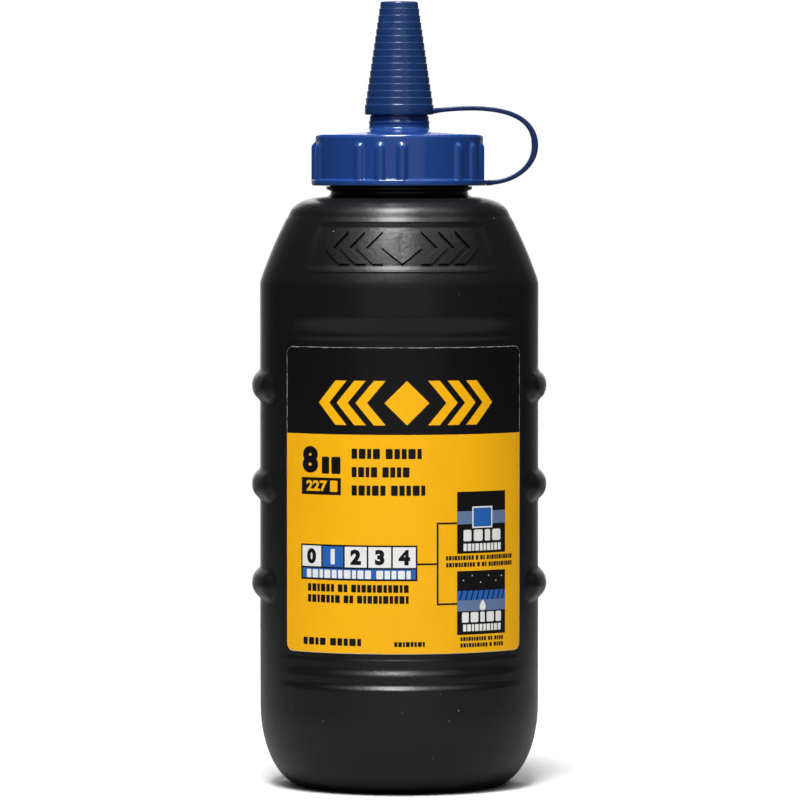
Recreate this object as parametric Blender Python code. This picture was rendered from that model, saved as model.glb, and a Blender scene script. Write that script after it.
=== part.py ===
"""Chalk powder bottle with a screw closure and a tethered tip cap.

Metres, +Z up. The origin is the centre of the foot, the front label faces -Y and the strap is at +X.
Heights are counted from the foot. Azimuths are counted from the front, positive towards +X.
"""
import math

import bmesh
import bpy
from mathutils import Vector
from mathutils.geometry import interpolate_bezier

MM = 0.001
GAP = 0.3 * MM                       # left between pieces that touch on the real bottle

# Bottle body
BARREL_RADIUS = 34.8 * MM
BARREL_TOP = 125.5 * MM              # height where the shoulder starts
WALL = 1.1 * MM
FOOT_CORNER_WIDTH = 11.1 * MM        # the rounded foot corner, a quarter ellipse
FOOT_CORNER_HEIGHT = 20.3 * MM
FOOT_CUT = 0.3 * MM                  # how much of that ellipse the flat foot takes off
FOOT_FLAT = 4.2 * MM                 # width of the ring that the bottle stands on
PUSH_UP = 2.2 * MM                   # hollow under the base
SHOULDER_HEIGHT = 17.8 * MM
SHOULDER_TOP_RADIUS = 27.3 * MM
CROWN_HEIGHT = 3.7 * MM              # rounded top of the shoulder

# Label panels, front and back: a flatter surface let into the barrel
PANEL_DEPTH = 2.1 * MM
PANEL_HALF_ANGLE = math.radians(57)
PANEL_LOW = 33.5 * MM
PANEL_FADE = 4.5 * MM                # height of the soft step above and below the panel
PANEL_TO_SHOULDER = 12.5 * MM        # from the panel up to the top of the barrel

# Labels
LABEL_SIDE_MARGIN = math.radians(2.5)
LABEL_LOW_MARGIN = 1.7 * MM
LABEL_HIGH_MARGIN = 2.8 * MM
LABEL_CORNER = 2.0 * MM
LABEL_THICKNESS = 0.2 * MM

# Grip ribs on the two sides
GRIP_COUNT = 3
GRIP_RISE = 2.15 * MM                # middle rib above the panel's middle
GRIP_PITCH = 24.7 * MM
GRIP_HALF_HEIGHT = 3.9 * MM
GRIP_HEIGHT = 2.1 * MM               # how far they stand out of the barrel
GRIP_HALF_ANGLE = math.radians(27)

# Neck finish, 38 mm nominal with 6 threads to the inch
NECK_RADIUS = 17.3 * MM
NECK_WALL = 2.1 * MM
BEAD_HEIGHT = 1.1 * MM
BEAD_REACH = 1.0 * MM
BEAD_RISE = 1.5 * MM                 # waist between the shoulder's crown and the bead
FINISH_HEIGHT = 10.1 * MM            # from the bead to the mouth
THREAD_LEAD = 25.4 / 6 * MM
THREAD_DEPTH = 1.35 * MM
THREAD_ROOT_WIDTH = 2.2 * MM
THREAD_CREST_WIDTH = 1.1 * MM
THREAD_CLEARANCE = 0.35 * MM
THREAD_EMBED = 0.5 * MM              # how deep the thread's section reaches into its wall
THREAD_FADE = 0.06                   # turns over which a thread's end rises out of the wall
THREAD_AZIMUTH = math.radians(37.3)  # where the helices cross their base height
NECK_THREAD_TURNS = 1.5
NECK_THREAD_START = 1.3 * MM         # centre of the thread's lower end above the bead
CLOSURE_THREAD_TURNS = 1.25
CLOSURE_THREAD_START = 1.7 * MM      # lowest centre of the closure's thread above its rim

# Sealing ring
RING_THICKNESS = 1.0 * MM
RING_LAND = 4.6 * MM                 # how far it reaches in over the neck's lip

# Closure
CLOSURE_WALL = 2.1 * MM
DECK_THICKNESS = 1.3 * MM
DECK_CROWN = 1.0 * MM
DECK_EDGE_RADIUS = 0.9 * MM
RIM_HEIGHT = 1.5 * MM
RIM_REACH = 1.0 * MM
RIB_REACH = 0.95 * MM
RIB_RADIUS = 1.5 * MM
RIB_STOP = 1.9 * MM                  # plain band left under the deck
RIB_GROUPS = 5
RIBS_PER_GROUP = 3
RIB_PITCH = math.radians(15)
FIRST_GROUP = math.radians(-14.4)
COLLAR_LEDGE = 0.35 * MM             # how far the collar stands out of the spout above it
COLLAR_HEIGHT = 4.6 * MM
SPOUT_HEIGHT = 23.1 * MM             # above the collar
SPOUT_WALL = 1.2 * MM

# Tip cap
CAP_TIP_SPACE = 3.5 * MM             # from the spout's tip to the underside of the cap's top
CAP_RING_HEIGHT = 2.7 * MM
CAP_RING_REACH = 0.25 * MM
CAP_BASE_RADIUS = 8.4 * MM
CAP_TOP_RADIUS = 4.55 * MM
CAP_TERRACES = 15
CAP_TERRACE_DEPTH = 0.22 * MM
CAP_WALL = 1.3 * MM
CAP_TOP_THICKNESS = 2.0 * MM
CAP_CLEARANCE = 0.35 * MM
PIN_RADIUS = 1.7 * MM
PIN_LENGTH = 5.0 * MM

# Strap: a flat moulded band in the XZ plane, from the tip cap out to its bend and back to the rim
STRAP_WIDTH = 3.0 * MM
STRAP_THICKNESS = 1.2 * MM
STRAP_REACH = 11.8 * MM              # how far the bend stands out of the closure's rim
STRAP_DROP = 8.6 * MM                # how far the bend hangs below the strap's upper end
STRAP_RISE = 2.4 * MM                # how far the strap climbs as it leaves the cap
STRAP_FULLNESS = (0.71, 0.84, 0.55, 0.6)   # curve handles as shares: run out, drop, fall, run back
STRAP_BEND_PART = 0.28               # share of each half that belongs to the bend

# Chalk
CHALK_HEADROOM = 26.5 * MM           # from the chalk's edge up to the top of the barrel
CHALK_CONE = 5.0 * MM                # the heap's middle above its edge

SEGMENTS = 48
SMALL_SEGMENTS = 28

# Sizes and heights that follow from the ones above
PANEL_HIGH = BARREL_TOP - PANEL_TO_SHOULDER
LABEL_LOW = PANEL_LOW + LABEL_LOW_MARGIN
LABEL_HIGH = PANEL_HIGH - LABEL_HIGH_MARGIN
LABEL_HALF_ANGLE = PANEL_HALF_ANGLE - LABEL_SIDE_MARGIN
GRIP_MIDDLE = (PANEL_LOW + PANEL_HIGH) / 2 + GRIP_RISE
CHALK_TOP = BARREL_TOP - CHALK_HEADROOM
NECK_BORE_RADIUS = NECK_RADIUS - NECK_WALL
SHOULDER_TOP = BARREL_TOP + SHOULDER_HEIGHT
CROWN_TOP = SHOULDER_TOP + CROWN_HEIGHT
BEAD_LOW = CROWN_TOP + BEAD_RISE
BEAD_TOP = BEAD_LOW + BEAD_HEIGHT
MOUTH = BEAD_TOP + FINISH_HEIGHT
RIM_LOW = BEAD_TOP + GAP
RING_LOW = MOUTH + GAP
DECK_LOW = RING_LOW + RING_THICKNESS + GAP
DECK_TOP = DECK_LOW + DECK_THICKNESS
COLLAR_TOP = DECK_TOP + COLLAR_HEIGHT
SPOUT_TOP = COLLAR_TOP + SPOUT_HEIGHT
CAP_LOW = COLLAR_TOP + GAP
CAP_CONE_LOW = CAP_LOW + CAP_RING_HEIGHT
CAP_TOP = SPOUT_TOP + CAP_TIP_SPACE + CAP_TOP_THICKNESS
CLOSURE_BORE_RADIUS = NECK_RADIUS + THREAD_DEPTH + THREAD_CLEARANCE
CLOSURE_RADIUS = CLOSURE_BORE_RADIUS + CLOSURE_WALL
RIM_RADIUS = CLOSURE_RADIUS + RIM_REACH


def clear_scene():
    for item in list(bpy.data.objects):
        bpy.data.objects.remove(item)


def plastic(name, color, roughness):
    """A plain Principled material."""
    material = bpy.data.materials.new(name)
    material.use_nodes = True
    shader = material.node_tree.nodes["Principled BSDF"]
    shader.inputs["Base Color"].default_value = (*color, 1.0)
    shader.inputs["Roughness"].default_value = roughness
    shader.inputs["Metallic"].default_value = 0.0
    return material


def smoothstep(low, high, value):
    share = min(max((value - low) / (high - low), 0.0), 1.0)
    return share * share * (3.0 - 2.0 * share)


def quarter_ellipse(center, half_sizes, start, end, steps):
    """Points (radius, height) on an ellipse, from one angle above the horizontal to another."""
    points = []
    for step in range(steps + 1):
        angle = start + (end - start) * step / steps
        points.append((center[0] + half_sizes[0] * math.cos(angle),
                       center[1] + half_sizes[1] * math.sin(angle)))
    return points


def point_at(radius, azimuth, height):
    return Vector((radius * math.sin(azimuth), -radius * math.cos(azimuth), height))


def circle_ring(radius, height, segments):
    return [point_at(radius, math.tau * step / segments, height) for step in range(segments)]


def add_skin(mesh, rings, closed):
    """Join rings of equal length with faces. The ends are joined to each other, or filled."""
    loops = [[mesh.verts.new(point) for point in ring] for ring in rings]
    pairs = list(zip(loops, loops[1:]))
    if closed:
        pairs.append((loops[-1], loops[0]))
    for low, high in pairs:
        for index in range(len(low)):
            after = (index + 1) % len(low)
            mesh.faces.new((low[index], low[after], high[after], high[index]))
    if not closed:
        mesh.faces.new(loops[0])
        mesh.faces.new(loops[-1])


def finish_object(name, mesh, material=None, guide=False):
    """Turn a bmesh into an object with outward faces. A guide is only used by a Boolean."""
    bmesh.ops.recalc_face_normals(mesh, faces=mesh.faces)
    data = bpy.data.meshes.new(name)
    mesh.to_mesh(data)
    mesh.free()
    data.shade_smooth()
    data.set_sharp_from_angle(angle=math.radians(35))
    if material:
        data.materials.append(material)
    item = bpy.data.objects.new(name, data)
    bpy.context.collection.objects.link(item)
    if guide:
        item.hide_render = True
        item.hide_set(True)
        item.display_type = "WIRE"
    return item


def turned(name, profile, material):
    """A turned ring-shaped piece from the closed profile of its section, (radius, height) points."""
    mesh = bmesh.new()
    add_skin(mesh, [circle_ring(radius, height, SEGMENTS) for radius, height in profile], closed=True)
    return finish_object(name, mesh, material)


def unite(item, guide):
    """Fuse a guide's shape into an object with an exact Boolean."""
    modifier = item.modifiers.new("unite_" + guide.name, "BOOLEAN")
    modifier.operation = "UNION"
    modifier.solver = "EXACT"
    modifier.object = guide


def panel_radius(azimuth):
    """Distance from the axis to the panel's flatter cylinder, whose own axis lies further back."""
    edge_out = BARREL_RADIUS * math.sin(PANEL_HALF_ANGLE)
    edge_forward = BARREL_RADIUS * math.cos(PANEL_HALF_ANGLE)
    rise = BARREL_RADIUS - PANEL_DEPTH - edge_forward
    flat_radius = (edge_out ** 2 + rise ** 2) / (2.0 * rise)
    setback = flat_radius - (BARREL_RADIUS - PANEL_DEPTH)
    side = setback * math.sin(azimuth)
    return math.sqrt(flat_radius ** 2 - side ** 2) - setback * math.cos(azimuth)


def from_panel_middle(azimuth):
    """Azimuth counted from the nearer panel's middle, front or back."""
    turned_by = math.remainder(azimuth, math.tau)
    if abs(turned_by) > math.pi / 2:
        turned_by = math.pi - abs(turned_by)
    return abs(turned_by)


def barrel_radius(base_radius, azimuth, height):
    """Radius of the bottle's outside with its two panels let in."""
    offset = from_panel_middle(azimuth)
    if offset >= PANEL_HALF_ANGLE:
        return base_radius
    fade = (smoothstep(PANEL_LOW - PANEL_FADE, PANEL_LOW, height)
            * (1.0 - smoothstep(PANEL_HIGH, PANEL_HIGH + PANEL_FADE, height)))
    return base_radius - fade * max(base_radius - panel_radius(offset), 0.0)


def bottle_ring(base_radius, height, inset):
    ring = []
    for step in range(SEGMENTS):
        azimuth = math.tau * step / SEGMENTS
        ring.append(point_at(barrel_radius(base_radius, azimuth, height) - inset, azimuth, height))
    return ring


def panel_heights():
    """Heights where the panels' steps need a ring."""
    low = [PANEL_LOW - PANEL_FADE * share for share in (1.0, 0.7, 0.3, 0.0)]
    high = [PANEL_HIGH + PANEL_FADE * share for share in (0.0, 0.3, 0.7, 1.0)]
    return low + high


def foot_corner(inset, steps):
    """The rounded corner between the foot and the barrel, set in by a wall."""
    center = (BARREL_RADIUS - FOOT_CORNER_WIDTH, FOOT_CORNER_HEIGHT - FOOT_CUT)
    half_sizes = (FOOT_CORNER_WIDTH - inset, FOOT_CORNER_HEIGHT - inset)
    start = -math.asin(min(center[1] - inset, half_sizes[1]) / half_sizes[1])
    return quarter_ellipse(center, half_sizes, start, 0.0, steps)


def crown(inset, steps):
    """The rounded top of the shoulder, set in by a wall."""
    neck = NECK_RADIUS + BEAD_REACH + 0.5 * MM
    center = (neck, SHOULDER_TOP - 0.3 * CROWN_HEIGHT)
    half_sizes = (SHOULDER_TOP_RADIUS - neck + 0.2 * MM - inset, 1.3 * CROWN_HEIGHT - inset)
    return quarter_ellipse(center, half_sizes, math.radians(16), math.radians(84), steps)


def make_bottle(material):
    mesh = bmesh.new()
    foot = foot_corner(0.0, 6)
    rings = [circle_ring(foot[0][0] - 2.4 * FOOT_FLAT, PUSH_UP, SEGMENTS),
             circle_ring(foot[0][0] - FOOT_FLAT, 0.0, SEGMENTS)]
    rings += [circle_ring(radius, height, SEGMENTS) for radius, height in foot]
    rings += [bottle_ring(BARREL_RADIUS, height, 0.0) for height in panel_heights()]
    outside = [(BARREL_RADIUS, BARREL_TOP - 1.0 * MM),
               (BARREL_RADIUS - 0.25 * MM, BARREL_TOP + 1.2 * MM)]
    outside += crown(0.0, 5)
    outside += [(NECK_RADIUS + 0.5 * MM, CROWN_TOP + 0.3 * MM),
                (NECK_RADIUS - 0.1 * MM, CROWN_TOP + 0.9 * MM),
                (NECK_RADIUS + BEAD_REACH, BEAD_LOW),
                (NECK_RADIUS + BEAD_REACH, BEAD_TOP - 0.2 * MM),
                (NECK_RADIUS, BEAD_TOP),
                (NECK_RADIUS, MOUTH - 0.3 * MM),
                (NECK_RADIUS - 0.3 * MM, MOUTH),
                (NECK_BORE_RADIUS + 0.2 * MM, MOUTH),
                (NECK_BORE_RADIUS, MOUTH - 0.2 * MM),
                (NECK_BORE_RADIUS, CROWN_TOP + 0.8 * MM)]
    outside += list(reversed(crown(1.4 * WALL, 3)))
    outside += [(BARREL_RADIUS - WALL, BARREL_TOP - 1.0 * MM)]
    rings += [circle_ring(radius, height, SEGMENTS) for radius, height in outside]
    rings += [bottle_ring(BARREL_RADIUS, height, WALL) for height in reversed(panel_heights())]
    inner_foot = list(reversed(foot_corner(WALL, 4)))
    rings += [circle_ring(radius, height, SEGMENTS) for radius, height in inner_foot]
    rings += [circle_ring(foot[0][0] - 2.4 * FOOT_FLAT, PUSH_UP + WALL, SEGMENTS)]
    add_skin(mesh, rings, closed=False)
    bottle = finish_object("bottle", mesh, material)
    unite(bottle, make_grip_guide())
    unite(bottle, make_neck_thread_guide())
    return bottle


def grip_ring(azimuth, middle, size):
    """A D-shaped section: flat inside the wall, rounded outside, smaller near the rib's ends."""
    half_height = GRIP_HALF_HEIGHT * size
    back = BARREL_RADIUS - 0.6 * WALL
    reach = (GRIP_HEIGHT + 0.6 * WALL) * size
    section = quarter_ellipse((back, middle), (reach, half_height), -math.pi / 2, math.pi / 2, 6)
    return [point_at(radius, azimuth, height) for radius, height in section]


def make_grip_guide():
    mesh = bmesh.new()
    end = 1.2 * GRIP_HALF_HEIGHT / BARREL_RADIUS
    straight = GRIP_HALF_ANGLE - end
    stations = [(-straight - end * 0.97, 0.25), (-straight - end * 0.7, 0.72), (-straight, 1.0)]
    stations += [(straight * share, 1.0) for share in (-0.6, -0.2, 0.2, 0.6)]
    stations += [(-angle, size) for angle, size in reversed(stations[:3])]
    for side in (1, -1):
        for number in range(GRIP_COUNT):
            middle = GRIP_MIDDLE + (number - (GRIP_COUNT - 1) / 2) * GRIP_PITCH
            rings = [grip_ring(side * math.pi / 2 + angle, middle, size) for angle, size in stations]
            add_skin(mesh, rings, closed=False)
    return finish_object("grip_guide", mesh, guide=True)


def make_thread_guide(name, root_radius, crest_radius, base, first_turn, turns):
    """A trapezoid section carried up a right-hand helix. Both ends sink into the wall it grows from."""
    steps = int(round(turns * 32))
    depth = crest_radius - root_radius
    embed = root_radius - math.copysign(THREAD_EMBED, depth)
    rings = []
    for step in range(steps + 1):
        turn = turns * step / steps
        size = min(1.0, turn / THREAD_FADE - 0.15, (turns - turn) / THREAD_FADE - 0.15)
        angle = THREAD_AZIMUTH + math.tau * (first_turn + turn)
        height = base + THREAD_LEAD * (first_turn + turn)
        crest = root_radius + depth * size
        half_root = THREAD_ROOT_WIDTH / 2
        half_crest = half_root - (THREAD_ROOT_WIDTH - THREAD_CREST_WIDTH) / 2 * max(size, 0.1)
        rings.append([point_at(embed, angle, height - half_root),
                      point_at(crest, angle, height - half_crest),
                      point_at(crest, angle, height + half_crest),
                      point_at(embed, angle, height + half_root)])
    mesh = bmesh.new()
    add_skin(mesh, rings, closed=False)
    return finish_object(name, mesh, guide=True)


def make_neck_thread_guide():
    return make_thread_guide("neck_thread_guide", NECK_RADIUS, NECK_RADIUS + THREAD_DEPTH,
                             BEAD_TOP + NECK_THREAD_START, 0.0, NECK_THREAD_TURNS)


def make_closure_thread_guide():
    """The closure's thread runs midway between the turns of the neck's thread."""
    base = BEAD_TOP + NECK_THREAD_START - THREAD_LEAD / 2
    first_turn = (RIM_LOW + CLOSURE_THREAD_START - base) / THREAD_LEAD
    return make_thread_guide("closure_thread_guide", CLOSURE_BORE_RADIUS,
                             CLOSURE_BORE_RADIUS - THREAD_DEPTH, base, first_turn,
                             CLOSURE_THREAD_TURNS)


def make_closure_rib_guide():
    """Upright half-round ribs with ball ends, in groups around the skirt."""
    mesh = bmesh.new()
    center_radius = CLOSURE_RADIUS + RIB_REACH - RIB_RADIUS
    back = CLOSURE_RADIUS - 0.6 * MM
    low = RIM_LOW + 0.4 * MM
    high = DECK_TOP - RIB_STOP - RIB_RADIUS
    start = math.acos((back - center_radius) / RIB_RADIUS)
    levels = [(low, 1.0), (high, 1.0), (high + 0.6 * RIB_RADIUS, 0.8), (high + 0.95 * RIB_RADIUS, 0.31)]
    for group in range(RIB_GROUPS):
        for number in range(RIBS_PER_GROUP):
            azimuth = FIRST_GROUP + group * math.tau / RIB_GROUPS
            azimuth += (number - (RIBS_PER_GROUP - 1) / 2) * RIB_PITCH
            outward = point_at(1.0, azimuth, 0.0)
            across = point_at(1.0, azimuth + math.pi / 2, 0.0)
            rings = []
            for height, size in levels:
                ring = []
                for step in range(7):
                    angle = -start + 2.0 * start * step / 6
                    forward = center_radius + RIB_RADIUS * math.cos(angle) - back
                    sideways = RIB_RADIUS * math.sin(angle)
                    ring.append(outward * (back + forward * size) + across * sideways * size
                                + Vector((0.0, 0.0, height)))
                rings.append(ring)
            add_skin(mesh, rings, closed=False)
    return finish_object("closure_rib_guide", mesh, guide=True)


def cap_cone_radius(height):
    """Outside radius of the tip cap's cone."""
    slope = (CAP_BASE_RADIUS - CAP_TOP_RADIUS) / (CAP_TOP - CAP_CONE_LOW)
    return CAP_BASE_RADIUS - slope * (height - CAP_CONE_LOW)


def spout_radius(height):
    """Outside radius of the spout where the tip cap covers it."""
    return cap_cone_radius(height) - CAP_WALL - CAP_CLEARANCE


def make_closure(material):
    inlet = spout_radius(CAP_LOW) - SPOUT_WALL
    tip = spout_radius(SPOUT_TOP)
    collar = spout_radius(CAP_LOW) + COLLAR_LEDGE
    edge = (CLOSURE_RADIUS - DECK_EDGE_RADIUS, DECK_TOP - DECK_EDGE_RADIUS)
    profile = [(CLOSURE_BORE_RADIUS + 0.2 * MM, RIM_LOW),
               (CLOSURE_BORE_RADIUS, RIM_LOW + 0.2 * MM),
               (CLOSURE_BORE_RADIUS, DECK_LOW),
               (inlet + 0.4 * MM, DECK_LOW),
               (inlet, DECK_LOW + 0.4 * MM),
               (inlet, CAP_LOW),
               (tip - SPOUT_WALL, SPOUT_TOP),
               (tip - 0.3 * MM, SPOUT_TOP),
               (tip, SPOUT_TOP - 0.3 * MM),
               (spout_radius(CAP_LOW), CAP_LOW),
               (spout_radius(CAP_LOW), COLLAR_TOP),
               (collar - 0.2 * MM, COLLAR_TOP),
               (collar, COLLAR_TOP - 0.2 * MM),
               (collar, DECK_TOP + DECK_CROWN + 0.6 * MM),
               (collar + 0.6 * MM, DECK_TOP + DECK_CROWN)]
    middle = (collar + CLOSURE_RADIUS) / 2
    profile += [(middle, DECK_TOP + 0.7 * DECK_CROWN)]
    profile += reversed(quarter_ellipse(edge, (DECK_EDGE_RADIUS, DECK_EDGE_RADIUS),
                                        0.0, math.pi / 2, 3))
    profile += [(CLOSURE_RADIUS, RIM_LOW + RIM_HEIGHT + 0.3 * MM),
                (RIM_RADIUS - 0.2 * MM, RIM_LOW + RIM_HEIGHT),
                (RIM_RADIUS, RIM_LOW + RIM_HEIGHT - 0.2 * MM),
                (RIM_RADIUS, RIM_LOW + 0.2 * MM),
                (RIM_RADIUS - 0.2 * MM, RIM_LOW)]
    closure = turned("closure", profile, material)
    unite(closure, make_closure_rib_guide())
    unite(closure, make_closure_thread_guide())
    return closure


def make_tip_cap(material):
    """A stepped cone with a tapered bore and a pin that plugs the spout."""
    terrace = (CAP_TOP - CAP_CONE_LOW) / CAP_TERRACES
    ring_radius = CAP_BASE_RADIUS + CAP_RING_REACH
    profile = [(cap_cone_radius(CAP_LOW) - CAP_WALL, CAP_LOW),
               (ring_radius - 0.2 * MM, CAP_LOW),
               (ring_radius, CAP_LOW + 0.2 * MM),
               (ring_radius, CAP_CONE_LOW - 0.2 * MM),
               (ring_radius - 0.2 * MM, CAP_CONE_LOW)]
    for number in range(CAP_TERRACES):
        low = CAP_CONE_LOW + number * terrace
        profile += [(cap_cone_radius(low) - CAP_TERRACE_DEPTH, low + 0.1 * terrace),
                    (cap_cone_radius(low), low + 0.4 * terrace)]
    profile += [(cap_cone_radius(CAP_TOP), CAP_TOP - 0.5 * MM),
                (cap_cone_radius(CAP_TOP) - 0.5 * MM, CAP_TOP)]
    outer = [circle_ring(radius, height, SMALL_SEGMENTS) for radius, height in reversed(profile)]
    cavity_top = CAP_TOP - CAP_TOP_THICKNESS
    inner = [(cap_cone_radius(cavity_top) - CAP_WALL, cavity_top),
             (PIN_RADIUS, cavity_top),
             (PIN_RADIUS, cavity_top - PIN_LENGTH + 0.5 * MM),
             (PIN_RADIUS - 0.5 * MM, cavity_top - PIN_LENGTH)]
    rings = outer + [circle_ring(radius, height, SMALL_SEGMENTS) for radius, height in inner]
    mesh = bmesh.new()
    add_skin(mesh, rings, closed=False)
    return finish_object("tip_cap", mesh, material)


def make_sealing_ring(material):
    outer = CLOSURE_BORE_RADIUS - GAP
    inner = NECK_RADIUS - RING_LAND
    top = RING_LOW + RING_THICKNESS
    profile = [(outer, RING_LOW), (outer, top), (inner, top), (inner, RING_LOW)]
    return turned("sealing_ring", profile, material)


def strap_line():
    """Centre line of the strap as two Bezier halves that meet at the outermost point."""
    start = Vector((CAP_BASE_RADIUS + CAP_RING_REACH + GAP, 0.0, CAP_LOW + 0.35 * CAP_RING_HEIGHT))
    end = Vector((RIM_RADIUS + GAP, 0.0, RIM_LOW + 0.45 * RIM_HEIGHT))
    bend = Vector((RIM_RADIUS + STRAP_REACH, 0.0, start.z - STRAP_DROP))
    run_out, drop, fall, run_back = STRAP_FULLNESS
    upper = interpolate_bezier(start, start + Vector((run_out * (bend.x - start.x), 0.0, STRAP_RISE)),
                               bend + Vector((0.0, 0.0, drop * STRAP_DROP)), bend, 17)
    lower = interpolate_bezier(bend, bend - Vector((0.0, 0.0, fall * (bend.z - end.z))),
                               end + Vector((run_back * (bend.x - end.x), 0.0, 0.0)), end, 13)
    return upper, lower


def make_strap(name, points, material):
    """A band of even thickness along points in the XZ plane."""
    rings = []
    for index, point in enumerate(points):
        before = points[max(index - 1, 0)]
        after = points[min(index + 1, len(points) - 1)]
        along = (after - before).normalized()
        normal = Vector((-along.z, 0.0, along.x)) * STRAP_THICKNESS / 2
        side = Vector((0.0, STRAP_WIDTH / 2, 0.0))
        rings.append([point + normal + side, point + normal - side,
                      point - normal - side, point - normal + side])
    mesh = bmesh.new()
    add_skin(mesh, rings, closed=False)
    return finish_object(name, mesh, material)


def trimmed(points, first, last):
    """Points of a line with both ends moved in by half a gap."""
    ends = [points[0], points[-1]]
    if first:
        ends[0] = points[0] + (points[1] - points[0]).normalized() * GAP / 2
    if last:
        ends[1] = points[-1] - (points[-1] - points[-2]).normalized() * GAP / 2
    return [ends[0]] + points[1:-1] + [ends[1]]


def make_straps(material):
    """The strap in three pieces: next to the tip cap, the bend, and next to the rim."""
    upper, lower = strap_line()
    upper_cut = round((len(upper) - 1) * (1.0 - STRAP_BEND_PART))
    lower_cut = round((len(lower) - 1) * STRAP_BEND_PART)
    make_strap("strap_upper", trimmed(upper[:upper_cut + 1], False, True), material)
    make_strap("strap_bend", trimmed(upper[upper_cut:] + lower[1:lower_cut + 1], True, True), material)
    make_strap("strap_lower", trimmed(lower[lower_cut:], True, False), material)


def make_label(name, facing, material):
    """A thin curved sheet with rounded corners on a panel, facing 0 in front or pi behind."""
    columns = 22
    low_radius = GAP
    high_radius = GAP + LABEL_THICKNESS
    middle = (LABEL_LOW + LABEL_HIGH) / 2
    half_height = (LABEL_HIGH - LABEL_LOW) / 2
    straight = BARREL_RADIUS * LABEL_HALF_ANGLE - LABEL_CORNER
    corner = LABEL_CORNER / BARREL_RADIUS
    inner = LABEL_HALF_ANGLE - corner
    angles = [-LABEL_HALF_ANGLE, -LABEL_HALF_ANGLE + 0.3 * corner]
    angles += [-inner + 2.0 * inner * step / columns for step in range(columns + 1)]
    angles += [LABEL_HALF_ANGLE - 0.3 * corner, LABEL_HALF_ANGLE]
    rings = []
    for angle in angles:
        past = max(BARREL_RADIUS * abs(angle) - straight, 0.0)
        half = half_height - LABEL_CORNER + math.sqrt(max(LABEL_CORNER ** 2 - past ** 2, 0.0))
        surface = panel_radius(angle)
        rings.append([point_at(surface + low_radius, facing + angle, middle - half),
                      point_at(surface + high_radius, facing + angle, middle - half),
                      point_at(surface + high_radius, facing + angle, middle + half),
                      point_at(surface + low_radius, facing + angle, middle + half)])
    mesh = bmesh.new()
    add_skin(mesh, rings, closed=False)
    return finish_object(name, mesh, material)


def make_chalk(material):
    """The powder, with the inside shape of the bottle and a low heap on top."""
    inset = WALL + 1.5 * GAP
    base = foot_corner(inset, 3)
    center = base[0][0] - 2.4 * FOOT_FLAT
    rings = [circle_ring(center, PUSH_UP + inset, SEGMENTS)]
    rings += [circle_ring(radius, height, SEGMENTS) for radius, height in base]
    rings += [bottle_ring(BARREL_RADIUS, height, inset) for height in panel_heights()[:4]]
    rings += [bottle_ring(BARREL_RADIUS, CHALK_TOP, inset)]
    rings += [circle_ring(0.6 * BARREL_RADIUS, CHALK_TOP + 0.5 * CHALK_CONE, SEGMENTS),
              circle_ring(0.2 * BARREL_RADIUS, CHALK_TOP + CHALK_CONE, SEGMENTS)]
    mesh = bmesh.new()
    add_skin(mesh, rings, closed=False)
    return finish_object("chalk_fill", mesh, material)


def build():
    clear_scene()
    make_bottle(plastic("bottle_black", (0.012, 0.012, 0.014), 0.38))
    blue = plastic("closure_blue", (0.012, 0.055, 0.24), 0.25)
    make_closure(blue)
    make_tip_cap(plastic("tip_cap_blue", (0.012, 0.055, 0.24), 0.3))
    make_straps(plastic("strap_blue", (0.012, 0.055, 0.24), 0.3))
    make_sealing_ring(plastic("seal_white", (0.8, 0.8, 0.78), 0.7))
    make_label("front_label", 0.0, plastic("label_yellow", (0.93, 0.45, 0.01), 0.35))
    make_label("back_label", math.pi, plastic("back_label_yellow", (0.93, 0.45, 0.01), 0.35))
    make_chalk(plastic("chalk_blue", (0.03, 0.12, 0.5), 0.95))


build()
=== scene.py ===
# Looks of the chalk powder bottle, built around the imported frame.
# Sizes in the dictionaries are millimetres and degrees. Azimuths count from the front (-Y), positive to +X.
from math import acos, asin, atan2, cos, dist, pi, radians, sin, tan
import bmesh
import bpy
import numpy as np
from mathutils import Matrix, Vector


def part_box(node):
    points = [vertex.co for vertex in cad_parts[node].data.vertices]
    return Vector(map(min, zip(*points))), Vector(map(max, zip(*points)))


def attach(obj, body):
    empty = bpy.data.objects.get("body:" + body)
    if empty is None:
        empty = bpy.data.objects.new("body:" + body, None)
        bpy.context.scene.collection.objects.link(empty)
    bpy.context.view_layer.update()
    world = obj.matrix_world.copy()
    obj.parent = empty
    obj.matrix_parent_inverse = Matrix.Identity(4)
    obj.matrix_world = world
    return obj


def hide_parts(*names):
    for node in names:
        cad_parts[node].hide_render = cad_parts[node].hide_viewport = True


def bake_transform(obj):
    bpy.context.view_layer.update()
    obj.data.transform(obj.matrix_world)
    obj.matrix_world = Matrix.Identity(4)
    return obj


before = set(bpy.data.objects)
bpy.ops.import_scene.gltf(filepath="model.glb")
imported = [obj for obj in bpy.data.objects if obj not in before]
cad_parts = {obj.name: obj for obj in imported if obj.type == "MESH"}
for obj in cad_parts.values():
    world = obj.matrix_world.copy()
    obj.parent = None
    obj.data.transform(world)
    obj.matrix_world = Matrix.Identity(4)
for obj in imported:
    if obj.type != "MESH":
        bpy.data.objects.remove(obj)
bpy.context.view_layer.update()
mm = 0.001


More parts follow.
